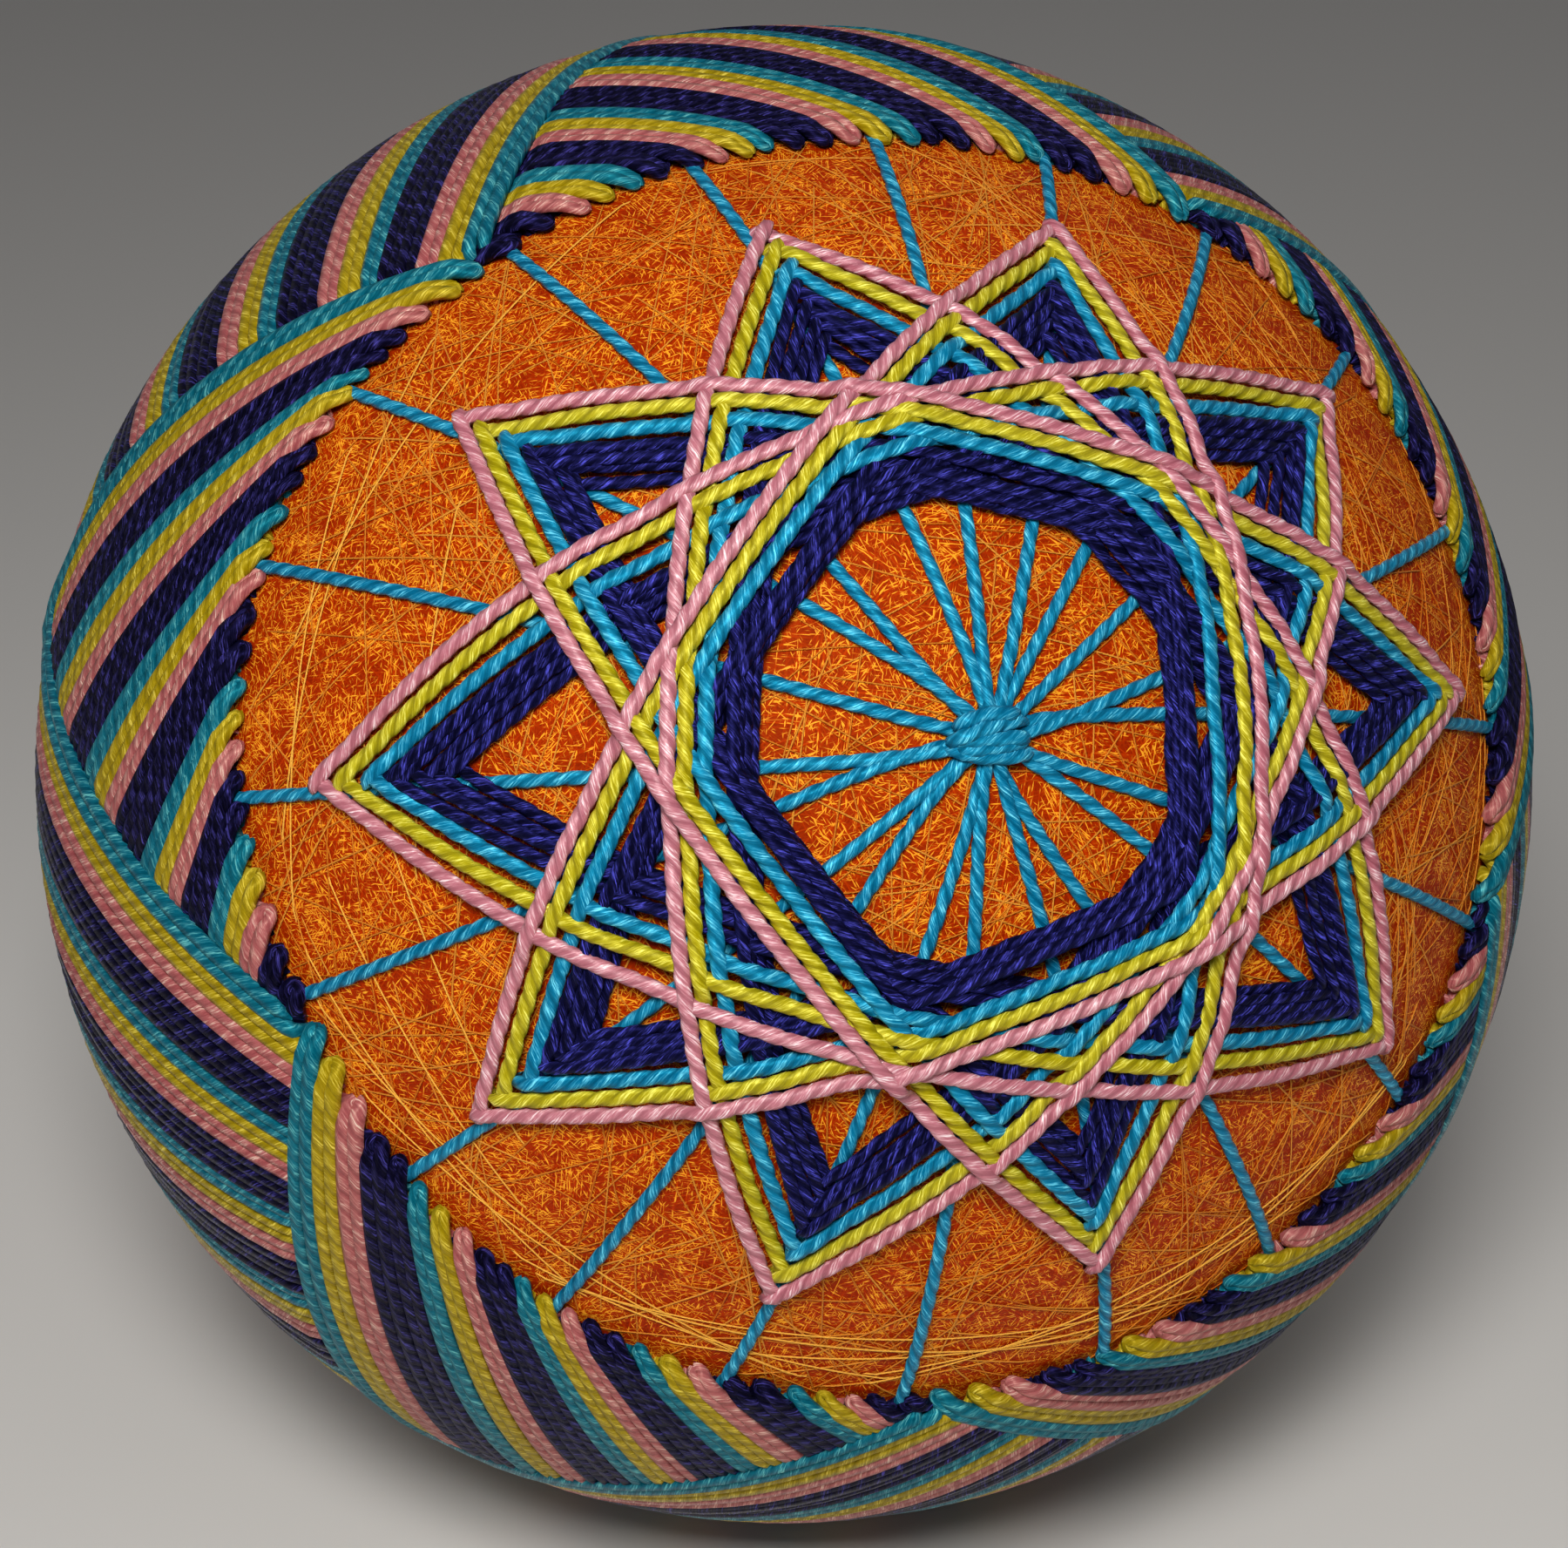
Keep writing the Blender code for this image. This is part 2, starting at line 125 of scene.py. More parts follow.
# Division lines 1 to 20: (turn near the pole, turn near the belt)
FRONT_LINES = (
    (-2.2, 0.7), (2.6, 1.2), (-1.3, 0.6), (3.9, -0.4), (-1.1, -2.3),
    (1.9, -1.0), (-1.7, -1.0), (4.1, 0.2), (-0.2, -0.5), (5.4, 0.2),
    (-3.2, 0.5), (-0.4, 1.5), (-0.4, 1.2), (-3.7, 0.3), (-4.2, -0.9),
    (-7.7, -1.4), (-1.5, -0.7), (-6.7, -0.4), (-1.3, -1.1), (4.3, 1.2),
)
BACK_TIPS = (
    (-0.6, 0.5), (0.7, -0.8), (0.3, 0.9), (-1.2, -0.3), (0.9, -0.5),
    (0.2, 0.8), (-0.8, 0.2), (1.1, -1.0), (-0.4, 0.6), (0.5, -0.4),
)
BACK_LINES = ((-2.5, 0.0), (2.5, 0.0)) * (LINES // 2)
BACK_MIDDLES = ((14.1, 17.2, 18.7, 19.9), (14.7, 17.7, 19.3, 20.5)) * (STAR_TIPS // 2)
BACK_STRAYS = ((45.5, 40.0, 26.0), (44.0, 170.0, 30.0), (46.0, 290.0, 25.0))

COLOUR_NAMES = ("navy", "turquoise", "yellow", "pink")

CAMERA_TURN, CAMERA_RISE = -13.218, 23.465
CAMERA_DISTANCE, CAMERA_LENS, CAMERA_SENSOR = 0.1989, 75.46, 36.0


def plane_point(polar, around):
    """Point of the plane that touches the ball at a pole. Great circles are straight there."""
    reach = tan(radians(polar))
    return np.array((reach * cos(radians(around)), reach * sin(radians(around))))


def on_ball(plane, back):
    """Unit directions, in the ball's frame, of points in the pattern plane."""
    spread = np.column_stack([plane, np.ones(len(plane))])
    spread /= np.linalg.norm(spread, axis=1)[:, None]
    if back:
        spread[:, 2] *= -1.0
    return spread


def evenly(directions, step):
    """The same route on the ball with points a step apart."""
    gaps = np.linalg.norm(np.diff(directions, axis=0), axis=1) * BALL_RADIUS
    reached = np.concatenate([[0.0], np.cumsum(gaps)])
    count = max(int(round(reached[-1] / step)), 2) + 1
    wanted = np.linspace(0.0, reached[-1], count)
    even = np.column_stack([np.interp(wanted, reached, directions[:, k]) for k in range(3)])
    return even / np.linalg.norm(even, axis=1)[:, None], wanted


def taut(heights, along):
    """Heights of a string pulled tight over the given heights above the ball."""
    angle = along / BALL_RADIUS
    radius = BALL_RADIUS + heights
    xs, ys = radius * np.sin(angle), radius * np.cos(angle)
    hull = []
    for i in range(len(xs)):
        while len(hull) > 1:
            a, b = hull[-2], hull[-1]
            turn = (xs[b] - xs[a]) * (ys[i] - ys[a]) - (ys[b] - ys[a]) * (xs[i] - xs[a])
            if turn < 0.0:
                break
            hull.pop()
        hull.append(i)
    first = np.searchsorted(hull, np.arange(len(xs)), side="right") - 1
    first = np.minimum(first, len(hull) - 2)
    a = np.array(hull)[first]
    b = np.array(hull)[first + 1]
    ex, ey = xs[b] - xs[a], ys[b] - ys[a]
    lifted = (xs[a] * ey - ys[a] * ex) / (np.sin(angle) * ey - np.cos(angle) * ex)
    return lifted - BALL_RADIUS


class Relief:
    """Height map of what is already stitched round one pole."""

    CELL = 0.00012
    REACH = 0.0395

    def __init__(self):
        size = int(2 * self.REACH / self.CELL)
        self.top = np.zeros((size, size))

    def cells(self, directions):
        polar = np.arccos(np.clip(np.abs(directions[:, 2]), 0.0, 1.0))
        flat = np.linalg.norm(directions[:, :2], axis=1) + 1e-12
        place = directions[:, :2] / flat[:, None] * (polar * BALL_RADIUS)[:, None]
        return (place + self.REACH) / self.CELL

    def under(self, directions):
        """Highest point below the middle of a strand."""
        where = self.cells(directions)
        heading = np.gradient(where, axis=0)
        heading /= np.linalg.norm(heading, axis=1)[:, None] + 1e-12
        side = np.column_stack([-heading[:, 1], heading[:, 0]])
        highest = np.zeros(len(where))
        for shift in (-1.7, 0.0, 1.7):
            spot = np.clip((where + side * shift).round().astype(int), 0, len(self.top) - 1)
            highest = np.maximum(highest, self.top[spot[:, 0], spot[:, 1]])
        return highest

    def lay(self, directions, heights, half_width, half_thick):
        where = self.cells(directions)
        reach = int(half_width / self.CELL) + 1
        for dx in range(-reach, reach + 1):
            for dy in range(-reach, reach + 1):
                spot = np.floor(where).astype(int) + (dx, dy)
                inside = ((spot >= 0) & (spot < len(self.top))).all(axis=1)
                away = np.linalg.norm(spot - where, axis=1) * self.CELL / half_width
                covered = inside & (away < 1.0)
                spot = spot[covered]
                crown = heights[covered] + half_thick * np.sqrt(1.0 - away[covered] ** 2)
                np.maximum.at(self.top, (spot[:, 0], spot[:, 1]), crown)


def smoothed(values, width):
    kernel = np.exp(-0.5 * (np.arange(-3 * width, 3 * width + 1) / width) ** 2)
    kernel /= kernel.sum()
    padded = np.pad(values, 3 * width, mode="edge")
    return np.convolve(padded, kernel, mode="valid")


def laid_heights(relief, directions, along, thickness, tightness):
    """Height of a strand's middle over what is below it."""
    below = relief.under(directions)
    contact = below + thickness
    widest = contact.copy()
    for shift in (1, 2):
        widest[shift:] = np.maximum(widest[shift:], contact[:-shift])
        widest[:-shift] = np.maximum(widest[:-shift], contact[shift:])
    local = smoothed(widest, 2)
    heights = tightness * taut(widest, along) + (1.0 - tightness) * local
    return np.maximum(heights, below + 0.6 * thickness)


def dive(heights, along, length, depth, start=True, end=True):
    """Round both ends of a strand down into the ball."""
    for wanted, away in ((start, along), (end, along[-1] - along)):
        if not wanted:
            continue
        inside = np.clip(1.0 - away / length, 0.0, 1.0)
        drop = 1.0 - np.sqrt(np.maximum(1.0 - inside ** 2, 0.0))
        heights = heights - (heights + depth) * drop
    return heights


def pressed_pile(heights, share):
    """Heights of strands that crossings have pressed into each other."""
    return heights - share * np.maximum(heights - PILE, 0.0)


def looped(pair, tip):
    """Two neighbouring strands whose first points are brought together in one round loop."""
    ends, inner = [], []
    for directions, _, _ in pair:
        away = np.linalg.norm(directions - directions[0], axis=1)
        ends.append(directions[0])
        inner.append(directions[np.argmax(away > LOOP_BACK)])
    middle = (ends[0] + ends[1]) / 2.0
    run = middle - (inner[0] + inner[1]) / 2.0
    run = run / np.linalg.norm(run)
    side = ends[1] - ends[0]
    side = side - run * side.dot(run)
    half_gap = np.linalg.norm(side) / 2.0
    side = side / np.linalg.norm(side)
    made = []
    for strand, way in zip(pair, (-1.0, 1.0)):
        directions, heights, wide = strand
        kept = (directions - middle).dot(run) < tip - half_gap * 1.2
        bend = []
        for turn in np.radians(LOOP_BENDS):
            onward = tip + half_gap * (np.sin(turn) - 1.0)
            bend.append(middle + run * onward + side * way * half_gap * np.cos(turn))
        bend = np.array(bend) / np.linalg.norm(bend, axis=1)[:, None]
        directions = np.vstack([bend, directions[kept]])
        heights = np.concatenate([np.full(len(bend), heights[kept][0]), heights[kept]])
        wide = np.concatenate([np.full(len(bend), wide[kept][0]), wide[kept]])
        steps = np.linalg.norm(np.diff(directions, axis=0), axis=1) * BALL_RADIUS
        along = np.concatenate([[0.0], np.cumsum(steps)])
        low = np.clip(1.0 - along / LOOP_FALL, 0.0, 1.0) ** 1.5
        heights = heights + (LOOP_HEIGHT - heights) * low
        wide = wide * (1.0 - 0.22 * np.exp(-along / 0.0006))
        made.append((directions, heights, wide))
    return made


def route(directions, heights, wide, tone, phase):
    """Middle line of a strand, its width at each point, and its own tone and turn."""
    points = directions * (BALL_RADIUS + heights)[:, None]
    return {"points": points, "wide": wide, "tone": tone, "phase": phase}


def layer_changes(offset, way):
    """Where a belt thread goes from one layer to the other."""
    middle = BELT_STEP / 2.0 - 0.6
    if way > 0:
        return (BELT_STEP - offset) / 2.0, middle, BELT_STEP - offset / 2.0
    return offset / 2.0, middle, BELT_STEP / 2.0 + offset / 2.0


def belt_leg_heights(travel, offset, way):
    """Upper or lower layer of a belt thread. A later row lies on an earlier one."""
    lower, upper = HALF * 0.95, HALF * 2.95
    level = np.full(len(travel), 1.0 if way > 0 else 0.0)
    sign = -way
    for place in layer_changes(offset, way):
        x = np.clip((travel - place) / 1.8 + 0.5, 0.0, 1.0)
        level = level + sign * x * x * (3.0 - 2.0 * x)
        sign = -sign
    return lower + (upper - lower) * np.clip(level, 0.0, 1.0)


def belt_travel(offset, way):
    """Where a belt leg gets its points: close at its ends and where it changes layers."""
    ends = np.array((0.0, 0.05, 0.15, 0.31, 0.52, 0.9, 1.5, 2.3))
    first, last = (-FINGER, BELT_STEP - TUCK) if way > 0 else (TUCK, BELT_STEP + FINGER)
    stops = [first + ends, last - ends[::-1]]
    for place in layer_changes(offset, way):
        stops.append(place + np.array((-1.1, -0.4, 0.4, 1.1)))
    stops.append(np.arange(2.5, BELT_STEP - 2.0, 1.9))
    travel = np.unique(np.concatenate(stops).round(2))
    travel = travel[(travel >= first) & (travel <= last)]
    keep = [0]
    for i in range(1, len(travel)):
        near_end = min(travel[i] - first, last - travel[i]) < 1.5
        if travel[i] - travel[keep[-1]] > (0.045 if near_end else 0.35):
            keep.append(i)
    return travel[keep]


def edge_shift(around):
    """How much farther from the pole than usual the belt's front edge is."""
    places = BELT_FIRST + np.arange(len(FRONT_EDGE) + 1) * 360.0 / len(FRONT_EDGE)
    place = (around - BELT_FIRST) % 360.0 + BELT_FIRST
    return np.interp(place, places, FRONT_EDGE + FRONT_EDGE[:1]) - BELT_EDGE


def row_shifts(sector):
    """Turn of each belt row's front end from its even place."""
    group = len(BELT_ROWS)
    middles = [0.5, 7.5]
    places = [k * group + m for k in range(ROWS // group) for m in middles] + [ROWS + 0.5]
    following = FRONT_SHIFTS[(sector + 1) % SECTORS][0]
    return np.interp(np.arange(ROWS), places, FRONT_SHIFTS[sector] + (following,))


def belt_routes():
    """Both legs of all belt rows, two neighbouring rows at a time."""
    chance = np.random.default_rng(11)
    found = {name: [] for name in COLOUR_NAMES}
    rise = tan(radians(90.0 - BELT_EDGE)) / sin(radians(BELT_STEP / 2.0))
    for sector in range(SECTORS):
        row_shift = row_shifts(sector)
        room = np.clip(1.0 + np.gradient(row_shift) / ROW_TURN, 0.85, 1.3)
        for row in range(0, ROWS, 2):
            colour = BELT_ROWS[row % len(BELT_ROWS)]
            for way in (1, -1):
                pair = []
                for each in (row, row + 1):
                    offset = each * ROW_TURN
                    start = BELT_FIRST + sector * BELT_STEP + offset + chance.normal(0.0, 0.08)
                    travel = belt_travel(offset, way)
                    latitude = np.arctan(
                        rise * np.sin(radians(BELT_STEP / 2.0) - np.radians(travel)))
                    fading = np.exp(-np.maximum(travel, 0.0) / 8.0)
                    latitude -= radians(edge_shift(start)) * fading
                    fading = np.exp(-np.maximum(travel, 0.0) / 22.0)
                    sway = 0.10 * np.sin(np.radians(travel * 5.0 + chance.uniform(0, 360)))
                    sway = sway + row_shift[each] * fading
                    around = np.radians(start + way * travel + sway)
                    directions = np.column_stack([
                        np.cos(latitude) * np.cos(around),
                        np.cos(latitude) * np.sin(around),
                        np.sin(latitude)])
                    heights = belt_leg_heights(travel, offset, way)
                    if each < 2:
                        crossing = np.exp(-((travel - BELT_STEP / 2.0) / 2.2) ** 2)
                        heights = heights + (0.0003 if way > 0 else 0.0001) * crossing + 0.00012
                    along = (travel - travel[0]) * BALL_RADIUS * radians(1.0) * 1.08
                    heights = dive(heights, along, 0.0006, 0.0003, start=way < 0, end=way > 0)
                    middle = np.abs(travel - BELT_STEP / 2.0) / (BELT_STEP / 2.0)
                    wide = (1.30 - 0.16 * middle ** 2) * (1.0 + (room[each] - 1.0) * fading)
                    pair.append((directions[::way], heights[::way], wide[::way]))
                pair = looped(pair, radians(chance.normal(0.0, 0.22)))
                for directions, heights, wide in pair:
                    found[colour].append(route(
                        directions, heights, wide, chance.uniform(), chance.uniform()))
    return found


def line_direction(number):
    return FIRST_LINE + (number - 1) * 360.0 / LINES


def division_routes(lines, knot, back, relief, chance):
    """Twenty strands from the knot at the pole to the belt."""
    found = []
    for i, (inner_turn, outer_turn) in enumerate(lines):
        around = line_direction(i + 1)
        near = plane_point(NEAR_POLE, around + inner_turn)
        far = plane_point(NEAR_BELT, around + outer_turn)
        heading = (far - near) / np.linalg.norm(far - near)
        nearest = near - heading * near.dot(heading)
        reach = np.linspace(0.012, tan(radians(BELT_EDGE + 4.0)), 160)
        pull = 1.0 / (1.0 + (reach[:, None] / 0.05) ** 2)
        path = nearest * (1.0 - 0.75 * pull) + knot * pull + heading * reach[:, None]
        directions, along = evenly(on_ball(path, back), 0.0003)
        heights = np.full(len(along), 0.00024)
        heights += 0.00011 * (i % 3) * np.exp(-(along / 0.0024) ** 2)
        heights = dive(heights, along, 0.0009, 0.0004, start=False)
        wide = np.full(len(along), 1.02)
        found.append(route(directions, heights, wide, chance.uniform(), chance.uniform()))
        relief.lay(directions, heights, STRAND / 2.0, HALF)
    return found


def knot_routes(knot, back, relief, chance, direction, strands=5):
    """Overstitches across the meeting point of the division threads."""
    found = []
    along_knot = np.array((cos(radians(direction)), sin(radians(direction))))
    across_knot = np.array((-along_knot[1], along_knot[0]))
    for i in range(strands):
        side = (i - (strands - 1) / 2.0) * 0.00034 + chance.normal(0.0, 0.00005)
        lean = chance.normal(0.0, 0.0003)
        bow = side * 0.45
        half_length = 0.0021 - 0.3 * abs(side) + chance.normal(0.0, 0.00014)
        t = np.linspace(-1.0, 1.0, 60)[:, None]
        path = along_knot * t * half_length + across_knot * (side + lean * t + bow * (1 - t * t))
        directions, along = evenly(on_ball(knot + path / BALL_RADIUS, back), 0.00022)
        heights = laid_heights(relief, directions, along, HALF * 0.75, 0.5)
        relief.lay(directions, dive(heights, along, 0.0007, 0.0001), STRAND / 2.0, HALF * 0.8)
        heights = dive(pressed_pile(heights, KNOT_PRESS), along, 0.0007, 0.0001)
        wide = np.full(len(along), 1.15)
        found.append(route(directions, heights, wide, chance.uniform(), chance.uniform()))
    return found


def ring_angle(middles, row):
    """Polar angle halfway along a star thread. The navy rows share the space inside."""
    if row >= NAVY_ROWS:
        return middles[1 + row - NAVY_ROWS]
    room = middles[1] - NAVY_GAP - middles[0]
    return middles[0] + room * row / (NAVY_ROWS - 1)


def star_path(tips, middle_angle, row, first, last, chance):
    """One thread of the star from a tip to the fourth one on, bowed round the pole."""
    colour, tip_angle = STAR_ROWS[row]
    loose = 0.2 if colour == "navy" else 0.07
    ends = []
    for tip in (first, last):
        out, turn = tips[tip]
        around = line_direction(2 + 2 * tip) + turn
        ends.append(plane_point(tip_angle + out + chance.normal(0.0, 1.5 * loose), around))
    start, end = ends
    middle = (start + end) / 2.0
    reach = np.linalg.norm(middle)
    bulge = tan(radians(middle_angle + chance.normal(0.0, loose))) - reach
    t = np.linspace(0.0, 1.0, 300)[:, None]
    path = start * (1.0 - t) + end * t + 4.0 * t * (1.0 - t) * middle / reach * bulge
    run_in = (path[0] - path[1]) / np.linalg.norm(path[0] - path[1])
    run_out = (path[-1] - path[-2]) / np.linalg.norm(path[-1] - path[-2])
    over = 0.026
    before = path[0] + run_in * np.linspace(over, 0.002, 8)[:, None]
    after = path[-1] + run_out * np.linspace(0.002, over, 8)[:, None]
    return colour, np.vstack([before, path, after])


def star_routes(tips, middles, back, relief, chance, steps):
    """All threads of one star in the order they are stitched: row by row, both rounds."""
    found = {name: [] for name in COLOUR_NAMES}
    for row in range(len(STAR_ROWS)):
        for round_start in ROUND_STARTS:
            first = round_start
            for _ in range(STAR_TIPS // 2):
                last = (first + STAR_JUMP) % STAR_TIPS
                middle_angle = ring_angle(middles[first], row)
                colour, path = star_path(tips, middle_angle, row, first, last, chance)
                directions, along = evenly(on_ball(path, back), steps[colour])
                sinking = 0.4 if colour == "navy" else 0.8
                heights = laid_heights(relief, directions, along, STAR_HALF * 0.85, 0.4)
                heights = dive(heights, along, 0.0008, 0.0003)
                relief.lay(directions, heights, STRAND * 0.54, STAR_HALF * sinking)
                heights = pressed_pile(heights, STAR_PRESS)
                wide = np.full(len(along), STAR_WIDE * (0.84 if colour == "navy" else 1.0))
                found[colour].append(route(
                    directions, heights, wide, chance.uniform(), chance.uniform()))
                first = last
    return found


def winding_routes(back, strays, chance):
    """Sewing thread wound at random, seen between the stitched threads round one pole."""
    found = []
    cap = cos(radians(BELT_EDGE + 2.0))
    for _ in range(FINE_STRANDS):
        height = chance.uniform(cap, 1.0)
        around = chance.uniform(0.0, 2.0 * pi)
        level = np.sqrt(1.0 - height * height)
        middle = np.array((level * cos(around), level * sin(around), height))
        heading = np.cross(middle, chance.normal(size=3))
        heading /= np.linalg.norm(heading)
        half_length = chance.uniform(0.10, 0.34)
        angle = np.arange(-half_length, half_length, 0.06)[:, None]
        side = np.cross(middle, heading)
        bend = chance.normal(0.0, 0.05)
        directions = middle * np.cos(angle) + heading * np.sin(angle) + side * bend * angle ** 2
        directions /= np.linalg.norm(directions, axis=1)[:, None]
        directions = directions[directions[:, 2] > cap - 0.03]
        if len(directions) < 4:
            continue
        if back:
            directions[:, 2] *= -1.0
        heights = np.full(len(directions), chance.uniform(0.0, 0.00004))
        heights[[0, -1]] -= 0.0002
        wide = np.full(len(directions), chance.uniform(0.7, 0.95))
        tone = 0.6 * chance.uniform()
        found.append(route(directions, heights, wide, tone, chance.uniform()))
    for polar, around, half_turn in strays:
        nearest = plane_point(polar, around)
        across = np.array((-nearest[1], nearest[0])) * tan(radians(half_turn))
        path = nearest + across * np.linspace(-1.0, 1.0, 80)[:, None]
        directions, along = evenly(on_ball(path, back), 0.0012)
        heights = np.full(len(along), 0.00007)
        heights[[0, -1]] -= 0.0003
        wide = np.full(len(along), 0.95)
        found.append(route(directions, heights, wide, 1.0, chance.uniform()))
    return found


def add(tree, kind, inputs=None, **settings):
    """A node with its settings, and its inputs linked or filled in."""
    node = tree.nodes.new(kind)
    for key, value in settings.items():
        setattr(node, key, value)
    for key, value in (inputs or {}).items():
        socket = node.inputs[key]
        if isinstance(value, bpy.types.NodeSocket):
            tree.links.new(value, socket)
        else:
            socket.default_value = value
    return node


def new_group(name, kind, inputs, outputs):
    tree = bpy.data.node_groups.new(name, kind)
    for label, socket_type, default in inputs:
        socket = tree.interface.new_socket(label, in_out="INPUT", socket_type=socket_type)
        if default is not None:
            socket.default_value = default
    for label, socket_type in outputs:
        tree.interface.new_socket(label, in_out="OUTPUT", socket_type=socket_type)
    return tree, tree.nodes.new("NodeGroupInput"), tree.nodes.new("NodeGroupOutput")


def math(tree, operation, first, second=0.0):
    return add(tree, "ShaderNodeMath", {0: first, 1: second}, operation=operation).outputs[0]


def strand_tree():
    """Routes become two-ply strands, twisted along their length and pressed on the ball."""
    tree, given, made = new_group(
        "wound_strands", "GeometryNodeTree",
        (("Routes", "NodeSocketGeometry", None),
         ("Strand Radius", "NodeSocketFloat", STRAND / 2.0),
         ("Sides", "NodeSocketInt", 8),
         ("Ply Dent", "NodeSocketFloat", 0.4),
         ("Ply Turns", "NodeSocketFloat", PLY_TURNS),
         ("Pressed", "NodeSocketFloat", PRESSED),
         ("Ball Centre", "NodeSocketVector", BALL_CENTRE),
         ("Thread", "NodeSocketMaterial", None)),
        (("Strands", "NodeSocketGeometry"),))
    put = given.outputs
    wide = add(tree, "GeometryNodeInputNamedAttribute", {"Name": "wide"}, data_type="FLOAT")
    phase = add(tree, "GeometryNodeInputNamedAttribute", {"Name": "phase"}, data_type="FLOAT")
    place = add(tree, "GeometryNodeInputPosition").outputs[0]
    spline = add(tree, "GeometryNodeSplineParameter")
    outward = add(
        tree, "ShaderNodeVectorMath", {0: place, 1: put["Ball Centre"]}, operation="SUBTRACT")
    radial = add(tree, "ShaderNodeVectorMath", {0: outward.outputs[0]}, operation="NORMALIZE")
    curve = add(tree, "GeometryNodeMeshToCurve", {"Mesh": put["Routes"]})
    curve = add(tree, "GeometryNodeSetCurveRadius", {"Curve": curve.outputs[0], "Radius": 1.0})
    curve = add(
        tree, "GeometryNodeSetCurveNormal",
        {"Curve": curve.outputs[0], "Normal": radial.outputs[0]}, mode="FREE")
    turned = math(tree, "MULTIPLY", spline.outputs["Length"], put["Ply Turns"])
    turned = math(tree, "ADD", turned, phase.outputs[0])
    turned = math(tree, "MULTIPLY", turned, 2.0 * pi)
    curve = add(tree, "GeometryNodeSetCurveTilt", {"Curve": curve.outputs[0], "Tilt": turned})
    curve = add(
        tree, "GeometryNodeStoreNamedAttribute",
        {"Geometry": curve.outputs[0], "Name": "along", "Value": spline.outputs["Length"]},
        data_type="FLOAT", domain="POINT")
    curve = add(
        tree, "GeometryNodeStoreNamedAttribute",
        {"Geometry": curve.outputs[0], "Name": "middle", "Value": place},
        data_type="FLOAT_VECTOR", domain="POINT")
    curve = add(
        tree, "GeometryNodeStoreNamedAttribute",
        {"Geometry": curve.outputs[0], "Name": "run",
         "Value": add(tree, "GeometryNodeInputTangent").outputs[0]},
        data_type="FLOAT_VECTOR", domain="POINT")
    ring = add(
        tree, "GeometryNodeCurvePrimitiveCircle",
        {"Resolution": put["Sides"], "Radius": 1.0}, mode="RADIUS")
    index = add(tree, "GeometryNodeInputIndex").outputs[0]
    angle = math(tree, "DIVIDE", index, put["Sides"])
    angle = math(tree, "MULTIPLY", angle, 2.0 * pi)
    level = math(tree, "COSINE", angle)
    upright = math(tree, "SINE", angle)
    profile = ring.outputs["Curve"]
    for label, value in (("around_cos", level), ("around_sin", upright)):
        profile = add(
            tree, "GeometryNodeStoreNamedAttribute",
            {"Geometry": profile, "Name": label, "Value": value},
            data_type="FLOAT", domain="POINT").outputs[0]
    groove = math(tree, "POWER", math(tree, "ABSOLUTE", upright), 5.0)
    dent = math(tree, "SUBTRACT", 1.0, math(tree, "MULTIPLY", groove, put["Ply Dent"]))
    dented = add(tree, "ShaderNodeVectorMath", {0: place, "Scale": dent}, operation="SCALE")
    profile = add(
        tree, "GeometryNodeSetPosition", {"Geometry": profile, "Position": dented.outputs[0]})
    size = math(tree, "MULTIPLY", wide.outputs[0], put["Strand Radius"])
    mesh = add(
        tree, "GeometryNodeCurveToMesh",
        {"Curve": curve.outputs[0], "Profile Curve": profile.outputs[0], "Scale": size,
         "Fill Caps": True})
    middle = add(
        tree, "GeometryNodeInputNamedAttribute", {"Name": "middle"}, data_type="FLOAT_VECTOR")
    from_middle = add(
        tree, "ShaderNodeVectorMath", {0: place, 1: middle.outputs[0]}, operation="SUBTRACT")
    lift = add(
        tree, "ShaderNodeVectorMath", {0: from_middle.outputs[0], 1: radial.outputs[0]},
        operation="DOT_PRODUCT")
    squeeze = math(tree, "SUBTRACT", put["Pressed"], 1.0)
    shift = math(tree, "MULTIPLY", lift.outputs["Value"], squeeze)
    flatten = add(
        tree, "ShaderNodeVectorMath", {0: radial.outputs[0], "Scale": shift}, operation="SCALE")
    mesh = add(
        tree, "GeometryNodeSetPosition",
        {"Geometry": mesh.outputs[0], "Offset": flatten.outputs[0]})
    mesh = add(tree, "GeometryNodeRemoveAttribute", {"Geometry": mesh.outputs[0], "Name": "middle"})
    mesh = add(tree, "GeometryNodeSetShadeSmooth", {"Geometry": mesh.outputs[0]})
    mesh = add(tree, "GeometryNodeRealizeInstances", {"Geometry": mesh.outputs[0]})
    mesh = add(
        tree, "GeometryNodeSetMaterial",
        {"Geometry": mesh.outputs[0], "Material": put["Thread"]})
    tree.links.new(mesh.outputs[0], made.inputs[0])
    return tree


